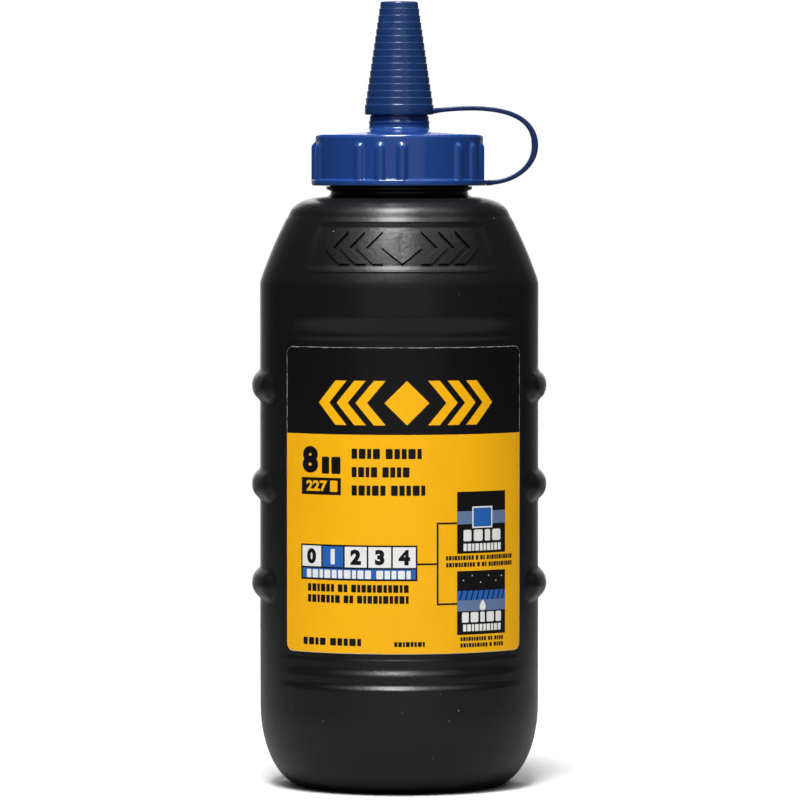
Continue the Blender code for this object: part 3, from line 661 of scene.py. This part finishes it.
# A cubic Bezier: weights (1-t)^3, 3t(1-t)^2, 3t^2(1-t) and t^3 on its four points.
def bezier(points, steps):
    t = np.linspace(0, 1, steps)[:, None]
    a, b, c, d = (np.array(point, float) for point in points)
    return (1 - t) ** 3 * a + 3 * t * (1 - t) ** 2 * b + 3 * t ** 2 * (1 - t) * c + t ** 3 * d


# A rounded-rectangle section, a superellipse of power 5, carried along the line in the XZ plane.
def band(name, line, thickness, width):
    along = np.gradient(line, axis=0)
    along /= np.linalg.norm(along, axis=1)[:, None]
    normal = np.stack([-along[:, 1], along[:, 0]], axis=1)
    angle = circle(strap["around"])
    across, up = (np.sign(wave) * np.abs(wave) ** 0.4 for wave in (np.cos(angle), np.sin(angle)))
    offset = normal[:, None, :] * (thickness[:, None] / 2 * up[None, :])[..., None]
    side = -width[:, None] / 2 * across[None, :]
    flat = line[:, None, :] + offset
    return skin(name, np.stack([flat[..., 0], side, flat[..., 1]], axis=-1))


def makeStrap():
    s = strap
    start, end, bend = (np.array(s[key]) for key in ("start", "end", "bend"))
    runOut, drop, fall, runBack = s["fullness"]
    outHandle = (start[0] + runOut * (bend[0] - start[0]), start[1] + s["rise"])
    upper = bezier([start, outHandle, (bend[0], bend[1] + drop * (start[1] - bend[1])), bend], 60)
    lower = bezier([bend, (bend[0], bend[1] - fall * (bend[1] - end[1])),
                    (end[0] + runBack * (bend[0] - end[0]), end[1]), end], 44)
    overlap = np.array([0, s["overlap"]])
    upper, lower = np.vstack([upper, bend - overlap]), np.vstack([bend + overlap, lower])
    near = lambda line, spot, reach: np.exp(-(np.linalg.norm(line - spot, axis=1) / reach) ** 2)

    # Thickness and width: thicker at the bend, flared at the root, tucked in at the free end.
    def sizes(line, root, rootFlare, freeEnd):
        flare, bulge = near(line, root, s["flareReach"]), near(line, bend, s["bendReach"])
        tuck = np.ones(len(line))
        tuck[freeEnd] = s["tuck"]
        thickness = s["thickness"] + (s["bendThickness"] - s["thickness"]) * bulge + rootFlare * flare
        return thickness * tuck, (s["width"] + s["flare"] * flare) * tuck

    top = band("strap_upper_band", upper, *sizes(upper, start, s["capFlare"], -1))
    low = band("strap_lower_band", lower, *sizes(lower, end, s["rimFlare"], 0))
    place(top, None, "strap_blue", "strap", "strap_upper", "strap_bend")
    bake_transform(top)
    place(low, None, "strap_blue", "strap", "strap_lower")
    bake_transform(low)
    print("stage: strap made")


sealingRing = dict(inner=12.7, clearance=0.05, fillet=0.2, around=120)


def makeSealingRing():
    r = sealingRing
    low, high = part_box("sealing_ring")
    outer, inner, bottom, top = high.x / mm - r["clearance"], r["inner"], low.z / mm, high.z / mm
    rim = [(outer, bottom), (outer, top), (inner, top), (inner, bottom)]
    corners = [(*corner, r["fillet"]) for corner in rim]
    line = filleted([(inner + 1, bottom, 0), *corners, (inner + 1, bottom, 0)], 4)[:-1]
    piece = skin("foam_ring", roundGrid(line[:, :1], line[:, 1], r["around"]), True)
    place(piece, "seal", "seal_white", "foam", "sealing_ring")


# The heap lies on a side that follows the bottle's inside, pressed in behind both panels.
chalk = dict(
    edge=33.1, middle=0.5, rows=60, around=180, drop=5.0, cone=4.2, conePower=0.9, waves=0.35, ripples=0.22,
    topPress=1.7, pressFrom=24, pressOver=8, sidePress=1.9, sidePressLow=25,
    sideHeights=(4.6, 8.0, 14.0, 20.0, 30.0, 60.0, 92.0),
    sideRadii=(22.0, 28.5, 31.6, 32.6, 32.6, 32.6, 32.6),
)


# Heap of powder: a low cone with waves and ripples, over the shape of the bottle's inside.
def makeChalk():
    c = chalk
    low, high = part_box("chalk_fill")
    share = np.linspace(0, 1, c["rows"])
    radii = c["edge"] * (1 - share) + c["middle"] * share
    azimuth = circle(c["around"])
    r, a = radii[:, None], azimuth[None, :]
    heap = high.z / mm - c["drop"] + c["cone"] * (1 - r / c["edge"]) ** c["conePower"]
    waves = c["waves"] * np.sin(r * 0.55 + 1.3 * np.sin(2 * a)) + c["ripples"] * np.sin(r * 1.7 + 3 * a)
    nearEdge = np.clip((radii - c["pressFrom"]) / c["pressOver"], 0, 1)
    towardPanels = np.abs(np.cos(a)) ** 3
    reach = r - (nearEdge * c["topPress"])[:, None] * towardPanels
    surface = np.stack([reach * np.sin(a), -reach * np.cos(a), heap + waves * (r > 1)], axis=-1)
    sideHeights, sideRadii = np.array(c["sideHeights"]), np.array(c["sideRadii"])
    pressed = c["sidePress"] * (sideHeights[:, None] > c["sidePressLow"]) * towardPanels
    side = roundGrid(sideRadii[:, None] - pressed, sideHeights, c["around"])
    piece = skin("chalk_heap", np.concatenate([side, surface]))
    place(piece, "bottle", "chalk_powder", "chalk", "chalk_fill")


makeBottle()
makeThreads()
makeClosure()
makeTipCap()
makeStrap()
makeSealingRing()
makeChalk()
print("stage: bottle and closure made")


labels = dict(
    thickness=0.12, gap=0.06, corner=2.0, low=35.25, high=110.5, header=89.1,
    front=dict(left=-31.6, right=33.4, turn=0.0, shift=-0.73),
    back=dict(left=-32.5, right=32.5, turn=pi, shift=0.0),
)


# A place on a panel: s millimetres along it, height z, and out millimetres off its surface.
def onPanel(s, z, out, turn):
    angle = s / panelRadius
    radius = panelRadius + out
    x = radius * np.sin(angle)
    y = panelSetback - radius * np.cos(angle)
    return np.stack([x * cos(turn) - y * sin(turn), x * sin(turn) + y * cos(turn), z],
                    axis=-1)


# Two grids, front and back, with their rims stitched: a thin closed sheet.
def sheetSolid(name, front, back):
    rows, columns = front.shape[:2]
    index = np.arange(rows * columns).reshape(rows, columns)
    behind = index + rows * columns
    cell = lambda i: np.stack([i[:-1, :-1], i[:-1, 1:], i[1:, 1:], i[1:, :-1]], axis=-1).reshape(-1, 4)
    rim = np.concatenate([index[0, :-1], index[:-1, -1], index[-1, :0:-1], index[:0:-1, 0]])
    nextRim = np.roll(rim, -1)
    sides = np.stack([nextRim, rim, rim + rows * columns, nextRim + rows * columns], axis=-1)
    faces = np.concatenate([cell(index), cell(behind)[:, ::-1], sides])
    points = np.vstack([front.reshape(-1, 3), back.reshape(-1, 3)]) * mm
    mesh = bpy.data.meshes.new(name)
    mesh.from_pydata(points.tolist(), [], faces.tolist())
    mesh.shade_smooth()
    mesh.set_sharp_from_angle(angle=radians(40))
    return newObject(name, mesh)


# Columns and rows are close together near the edges, and each column's height follows the rounded corners.
def makeLabel(name, side, node):
    look = labels[side]
    near = np.array([0, 0.12, 0.25, 0.4, 0.6, 0.9, 1.3, 2.0])
    width, height = look["right"] - look["left"], labels["high"] - labels["low"]
    s = np.concatenate([near, np.linspace(3, width - 3, 56), width - near[::-1]])
    v = np.concatenate([near, np.linspace(3, height - 3, 40), height - near[::-1]]) / height
    past = np.maximum(np.abs(s - width / 2) - (width / 2 - labels["corner"]), 0)
    half = height / 2 - labels["corner"] + np.sqrt(np.maximum(labels["corner"] ** 2 - past ** 2, 0))
    middle = (labels["high"] + labels["low"]) / 2
    z = middle + (2 * v[:, None] - 1) * half[None, :]
    along = np.broadcast_to(look["left"] + s[None, :], z.shape)
    outside = onPanel(along, z, labels["gap"] + labels["thickness"], look["turn"])
    piece = sheetSolid(name, outside, onPanel(along, z, labels["gap"], look["turn"]))
    inX = np.minimum(s, width - s)[None, :] * np.ones_like(z)
    inZ = np.minimum(half[None, :] - np.abs(z - middle), height / 2)
    distance = np.tile(np.minimum(inX, inZ).reshape(-1), 2)
    materials[name] = labelStock(name + "_stock", labels["header"])
    attribute = piece.data.attributes.new("edgeDistance", "FLOAT", "POINT")
    attribute.data.foreach_set("value", distance.astype(np.float32))
    place(piece, "bottle", "label_print", name, node)


makeLabel("front_label_sheet", "front", "front_label")
makeLabel("back_label_sheet", "back", "back_label")


def bar(s0, z0, s1, z1):
    return [[(s0, z0), (s1, z0), (s1, z1), (s0, z1)]]


# A bar with round ends.
def pill(s0, z0, s1, z1, share=0.35):
    radius = min(s1 - s0, z1 - z0) * share
    angle = np.linspace(0, pi / 2, 5)
    corners = [(s1 - radius, z0 + radius, -pi / 2), (s1 - radius, z1 - radius, 0),
               (s0 + radius, z1 - radius, pi / 2), (s0 + radius, z0 + radius, pi)]
    return [[(s + radius * cos(a + first), z + radius * sin(a + first))
             for s, z, first in corners for a in angle]]


def disc(s, z, radius, count=28):
    angle = circle(count)
    return [list(zip(s + radius * np.cos(angle), z + radius * np.sin(angle)))]


# A drop: a circle's point at angle a is pulled in by sin(a/2) towards the tip.
def drop(s, z, width, height):
    a = circle(32)
    return [list(zip(s - width / 2 * np.sin(a) * np.sin(a / 2) * 1.2, z + height / 2 * np.cos(a)))]


# Two slanted bars that meet in a point.
def chevron(s, z, height, width, thick, toward):
    tip = s + toward * width
    low = [(s, z - height / 2), (s + toward * thick, z - height / 2), (tip + toward * thick, z), (tip, z)]
    high = [(tip, z), (tip + toward * thick, z), (s + toward * thick, z + height / 2), (s, z + height / 2)]
    return [low, high] if toward > 0 else [low[::-1], high[::-1]]


def diamond(s, z, width, height):
    return [[(s, z - height / 2), (s + width / 2, z), (s, z + height / 2), (s - width / 2, z)]]


# A generic device: a diamond between three chevrons on each side.
def emblem(s, z, width, height):
    unit = width / 44
    shapes = diamond(s, z, 11 * unit, height)
    for number in range(3):
        for toward in (-1, 1):
            at = s + toward * (5.2 + 4.9 * number) * unit
            shapes += chevron(at, z, height, 4.6 * unit, 2.9 * unit, toward)
    return shapes


# Words shown as rows of plain blocks: each word has a count of blocks, and their widths vary a little.
def greeked(s0, z0, s1, z1, *words):
    widths = [[1.0 + 0.28 * sin(2.4 * (block + 3 * number)) for block in range(count)]
              for number, count in enumerate(words)]
    gap, space = 0.3, 1.0
    total = sum(sum(word) + gap * (len(word) - 1) for word in widths) + space * (len(words) - 1)
    unit = (s1 - s0) / total
    shapes, at = [], s0
    for word in widths:
        for width in word:
            shapes += pill(at, z0, at + width * unit, z1, 0.16)
            at += (width + gap) * unit
        at += (space - gap) * unit
    return shapes


def meshPoints(mesh):
    points = np.zeros(len(mesh.vertices) * 3)
    mesh.vertices.foreach_get("co", points)
    return points.reshape(-1, 3)


# Numerals from Blender's own font, at a height and a stretch, centred on s.
def figure(text, s, z0, z1, stretch=1.0, weight=0.03):
    curve = bpy.data.curves.new("figure", "FONT")
    curve.body = text
    curve.offset = weight
    curve.resolution_u = 4
    item = newObject("figure", curve)
    bpy.context.view_layer.update()
    mesh = bpy.data.meshes.new_from_object(item.evaluated_get(bpy.context.evaluated_depsgraph_get()))
    points = meshPoints(mesh)[:, :2]
    low, high = points.min(axis=0), points.max(axis=0)
    size = (z1 - z0) / (high[1] - low[1])
    points = (points - [(low[0] + high[0]) / 2, low[1]]) * [size * stretch, size] + [s, z0]
    shapes = [[tuple(points[v]) for v in polygon.vertices] for polygon in mesh.polygons]
    bpy.data.objects.remove(item)
    bpy.data.meshes.remove(mesh)
    return shapes


# All shapes of one ink: flat faces at their layer's height, cut every strip width, thickened and wrapped.
def inkPiece(name, ink, shapes, wrap, body="bottle", strip=1.2, thickness=0.012, slotName="label_print"):
    flat = bmesh.new()
    for layer, polygons in shapes:
        for polygon in polygons:
            flat.faces.new([flat.verts.new((s, z, layer)) for s, z in polygon])
    bmesh.ops.remove_doubles(flat, verts=flat.verts, dist=1e-4)
    for cut in np.arange(-36, 36, strip):
        geometry = flat.verts[:] + flat.edges[:] + flat.faces[:]
        bmesh.ops.bisect_plane(flat, geom=geometry, plane_co=(float(cut), 0, 0), plane_no=(1, 0, 0), dist=1e-5)
    bmesh.ops.triangulate(flat, faces=flat.faces[:])
    bmesh.ops.recalc_face_normals(flat, faces=flat.faces)
    for face in flat.faces:
        if face.normal.z < 0:
            face.normal_flip()
    bmesh.ops.solidify(flat, geom=flat.faces[:], thickness=thickness)
    mesh = bpy.data.meshes.new(name)
    flat.to_mesh(mesh)
    flat.free()
    wrapped = wrap(*meshPoints(mesh).T) * mm
    mesh.vertices.foreach_set("co", wrapped.reshape(-1))
    mesh.update()
    return place(newObject(name, mesh), body, slotName, ink)


# Shapes of one kind for a layer of an ink, one from each row of values.
def draw(ink, layer, shape, *rows):
    ink.extend((layer, shape(*row)) for row in rows)


def frontArtwork():
    inks = {name: [] for name in inkColors}
    black, white, blue, grey, yellow = inks.values()
    # Header device and net content
    draw(yellow, 1, emblem, (1.9, 96.9, 44, 10.9))
    draw(black, 1, figure, ("8", -23.2, 79.5, 86.1, 1.05, 0.06))
    draw(black, 1, bar, (-25.8, 74.2, -14.6, 78.4))
    draw(yellow, 2, figure, ("227", -21.3, 75.0, 77.7, 1.15, 0.04))
    draw(yellow, 2, pill, (-17.5, 74.95, -15.5, 77.75, 0.16))
    # Words at the top, under the scale, under the two pictures and at the foot
    draw(black, 1, greeked, (-19.8, 79.4, -14.7, 83.6, 2), (-11.8, 83.2, 5.5, 85.7, 4, 5),
         (-11.8, 78.7, 2.5, 81.2, 4, 4), (-11.8, 74.2, 6.4, 76.7, 5, 5), (-25.3, 37.2, -9.4, 39.0, 4, 5),
         (-1.2, 37.1, 6.3, 38.3, 8), (-23.9, 50.4, 2.3, 52.3, 6, 2, 11), (-23.9, 47.7, 2.3, 49.6, 7, 2, 10),
         (11.6, 58.2, 31.0, 59.3, 10, 1, 2, 11), (11.6, 56.5, 31.0, 57.6, 10, 1, 2, 10),
         (15.4, 38.25, 28.0, 39.25, 10, 2, 4), (15.4, 36.7, 28.0, 37.7, 10, 1, 4))
    # Scale with five cells
    left, right, low, split, high, line = -26.0, 4.45, 53.25, 56.3, 62.0, 0.42
    draw(black, 1, bar, (left, low, right, high))
    cell = (right - left - line) / 5
    for number in range(5):
        start = left + line + number * cell
        draw(blue if number == 1 else white, 2, bar,
             (start, split + line / 2, start + cell - line, high - line))
        draw(white if number == 1 else black, 3, figure,
             (str(number), start + (cell - line) / 2, split + 0.85, high - line - 0.65, 1.05, 0.06))
    draw(blue, 2, bar, (left + line, low + line, right - line, split - line / 2))
    draw(white, 3, greeked, (-24.2, 53.75, 2.8, 55.8, 10, 5))
    # Bracket from the scale to the two pictures
    draw(black, 1, bar, (right, 57.15, 9.7, 57.6), (9.25, 47.25, 9.7, 67.55), (9.7, 67.1, 14.5, 67.55),
         (9.7, 47.25, 14.5, 47.7))
    # Picture of light: a swatch on a band
    draw(black, 1, bar, (14.5, 59.8, 28.7, 75.0))
    draw(grey, 2, bar, (14.5, 67.0, 28.7, 70.2))
    draw(white, 2.5, bar, (18.6, 66.0, 24.5, 71.3))
    draw(blue, 3, bar, (18.95, 66.35, 24.15, 70.95))
    draw(white, 2, greeked, (16.2, 62.8, 27.1, 65.6, 4), (16.2, 60.4, 27.2, 62.2, 10))
    # Picture of water: a drop and small dots over a striped line
    draw(black, 1, bar, (14.5, 39.8, 28.7, 55.5))
    draw(grey, 2, bar, (14.5, 45.6, 28.7, 48.6))
    draw(blue, 2.5, bar, (14.5, 48.3, 28.7, 50.6))
    for number in range(9):
        at = 15.0 + number * 1.55
        black.append((3, [[(at, 48.3), (at + 0.35, 48.3), (at + 1.05, 50.6), (at + 0.7, 50.6)]]))
    draw(white, 3, drop, (21.6, 47.0, 1.9, 2.7))
    for s, z in ((16.2, 53.2), (18.6, 54.3), (21.0, 52.6), (23.4, 54.2), (25.6, 52.9), (27.4, 54.0)):
        draw(white, 2, disc, (s, z, 0.16, 8))
    draw(white, 2, greeked, (15.8, 42.8, 27.3, 45.3, 5), (16.1, 40.6, 27.2, 42.3, 10))
    return inks


def backArtwork():
    inks = {name: [] for name in inkColors}
    black = inks["inkBlack"]
    draw(inks["inkYellow"], 1, emblem, (0, 98.6, 36, 8.6))
    for row in range(4):
        top = 84.5 - row * 11.5
        draw(black, 1, pill, (-26, top - 2.0, -12 + 3 * (row % 2), top))
        for line in range(4):
            low = top - 4.1 - line * 1.75
            ends = (26.0, 23.5, 25.0, 12.0)[(line + row) % 4]
            draw(black, 1, greeked, (-26, low, ends, low + 0.85, 7, 5, 9, 3, 8, 6))
    draw(black, 1, bar, (-26, 37.2, -14, 40.2))
    draw(inks["inkBlue"], 2, bar, (-25.6, 37.6, -14.4, 39.8))
    return inks


inkLift = 0.016       # height of one ink layer over the label's face, which sits at layer 0


def printArtwork(prefix, artwork, side):
    face = labels["gap"] + labels["thickness"]
    look = labels[side]
    wrap = lambda s, z, layer: onPanel(s + look["shift"], z, face + layer, look["turn"])
    for ink, shapes in artwork.items():
        if shapes:
            lifted = [(layer * inkLift, polygons) for layer, polygons in shapes]
            inkPiece(prefix + ink, ink, lifted, wrap)


printArtwork("front_", frontArtwork(), "front")
printArtwork("back_", backArtwork(), "back")
print("stage: labels printed")


relief = dict(
    low=130.6, height=8.6, width=39, lift=0.62, sink=0.8, ridge=0.3, bevel=0.38, ridges=(129.0, 141.1),
    ridgeHalf=41,
)


# A place on the shoulder's cone: s along its level line, t up its slope, out along its normal.
def onCone(s, t, out):
    radius = coneFoot[0] - t * sin(coneSlope)
    angle = s / radius
    share = t / dist(coneFoot, coneHead)
    reach = radius + out * cos(coneSlope) + shoulderBulge(share)
    z = coneFoot[1] + t * cos(coneSlope) + out * sin(coneSlope)
    return np.stack([reach * np.sin(angle), -reach * np.cos(angle), z], axis=-1)


def makeRelief():
    r = relief
    slopeAt = lambda z: (z - coneFoot[1]) / cos(coneSlope)
    middle = slopeAt(r["low"] + r["height"] / 2 - 0.1)
    shapes = [(r["lift"] - plaque["depth"], emblem(0, middle, r["width"], r["height"]))]
    piece = inkPiece("shoulder_device", "bottle", shapes, onCone, strip=0.9, thickness=r["sink"],
                     slotName="bottle_black")
    bevel = piece.modifiers.new("softEdge", "BEVEL")
    bevel.width = r["bevel"] * mm
    bevel.segments = 3
    bevel.limit_method = "ANGLE"
    for number, height in enumerate(r["ridges"]):
        t = slopeAt(height)
        azimuth = np.linspace(-radians(r["ridgeHalf"]), radians(r["ridgeHalf"]), 90)
        taper = np.minimum(1, (1 - np.abs(azimuth) / azimuth[-1]) * 12 + 0.05)
        around = circle(10)
        radius = coneFoot[0] - t * sin(coneSlope)
        s = (azimuth * radius)[:, None] * np.ones(len(around))
        up = t + (r["ridge"] * taper)[:, None] * np.cos(around)
        out = (r["ridge"] * taper)[:, None] * np.sin(around) * 0.9
        ridge = skin("shoulder_ridge_%d" % (number + 1), onCone(s, up, out))
        place(ridge, "bottle", "bottle_black", "bottle")
    print("stage: shoulder relief made")


makeRelief()


studio = dict(floor=0.86, floorTone=0.03, bounce=0.25, floorRadius=0.62, floorSolid=0.22, fill=0.04)

# Soft boxes have a place, an aim, a size and a radiance.
softBoxes = dict(
    key=((-0.10, -0.53, 1.36), (-0.01, 0, 0.10), (0.48, 0.86), 27.0),
    leftFill=((-0.55, -0.35, 1.35), (0, 0, 0.08), (0.9, 0.9), 1.1),
    rightFill=((0.55, -0.35, 1.35), (0, 0, 0.08), (0.9, 0.9), 1.6),
    front=((0, -1.95, 0.45), (0, 0, 0.12), (2.6, 1.3), 0.34),
    rear=((0, 1.3, 0.95), (0, 0, 0.10), (0.6, 0.6), 4.5),
    behind=((0, 1.9, 0.30), (0, 0, 0.10), (1.0, 0.8), 2.0),
    leftEdge=((-0.5, 1.25, 0.30), (0, 0, 0.10), (0.55, 0.8), 0.24),
    rightEdge=((0.5, 1.25, 0.30), (0, 0, 0.10), (0.55, 0.8), 0.24),
)


# A soft box: its power is radiance times pi times its area.
def softBox(name, spot, aim, size, radiance):
    light = bpy.data.lights.new(name + "Light", "AREA")
    light.shape = "RECTANGLE"
    light.size, light.size_y = size
    light.energy = radiance * pi * light.size * light.size_y
    lamp = newObject(name + "Light", light)
    lamp.location = spot
    lamp.visible_camera = False
    lamp.rotation_euler = (Vector(aim) - Vector(spot)).to_track_quat("-Z", "Y").to_euler()


# The world is white to the camera, and only a weak fill to everything else.
def makeWorld():
    world = bpy.data.worlds.new("studioWorld")
    bpy.context.scene.world = world
    world.use_nodes = True
    nodes = Nodes(world.node_tree)
    seen = nodes.add("ShaderNodeLightPath").outputs["Is Camera Ray"]
    strength = nodes.add("ShaderNodeMapRange", Value=seen, To_Min=studio["fill"], To_Max=1.0).outputs[0]
    nodes.feed(world.node_tree.nodes["Background"], Strength=strength, Color=(1, 1, 1, 1))


# A round pale floor that fades out into the white world. It gives the bottle less light than it shows.
def makeFloor():
    s = studio
    angle = circle(96)
    rim = s["floorRadius"] * np.stack([np.cos(angle), np.sin(angle), 0 * angle], axis=1)
    mesh = bpy.data.meshes.new("floor")
    mesh.from_pydata(rim.tolist(), [], [list(range(len(rim)))])
    floor = newObject("floor", mesh)
    material, nodes, shader, coords = newMaterial("floorPaper")
    grey = lambda tone: (tone, tone, tone, 1)
    pale = nodes.mix(nodes.noise(coords, 3.0, 2.0), grey(s["floor"]), grey(s["floor"] + s["floorTone"]))
    seen = nodes.add("ShaderNodeLightPath").outputs["Is Camera Ray"]
    away = nodes.add("ShaderNodeVectorMath", {"operation": "LENGTH"}, _0=coords).outputs["Value"]
    nodes.feed(shader, Base_Color=nodes.mix(seen, grey(s["bounce"]), pale), Roughness=0.8,
               Alpha=nodes.ramp(away, s["floorRadius"], s["floorSolid"]))
    floor.data.materials.append(material)


view = dict(eye=0.1605, distance=1.46, focal=262.8, down=2.52, azimuth=-1.3, aside=0.0002)


def makeCamera():
    data = bpy.data.cameras.new("photoView")
    data.lens = view["focal"]
    data.sensor_width = 36
    data.clip_start, data.clip_end = 0.05, 20
    camera = newObject("photoView", data)
    turn = radians(view["azimuth"])
    across, back = view["aside"], -view["distance"]
    camera.location = (across * cos(turn) - back * sin(turn),
                       across * sin(turn) + back * cos(turn), view["eye"])
    camera.rotation_euler = (radians(90 - view["down"]), 0, turn)
    bpy.context.scene.camera = camera


bpy.context.scene.view_settings.view_transform = "Standard"
makeWorld()
makeFloor()
for name, values in softBoxes.items():
    softBox(name, *values)
makeCamera()
print("stage: studio ready")
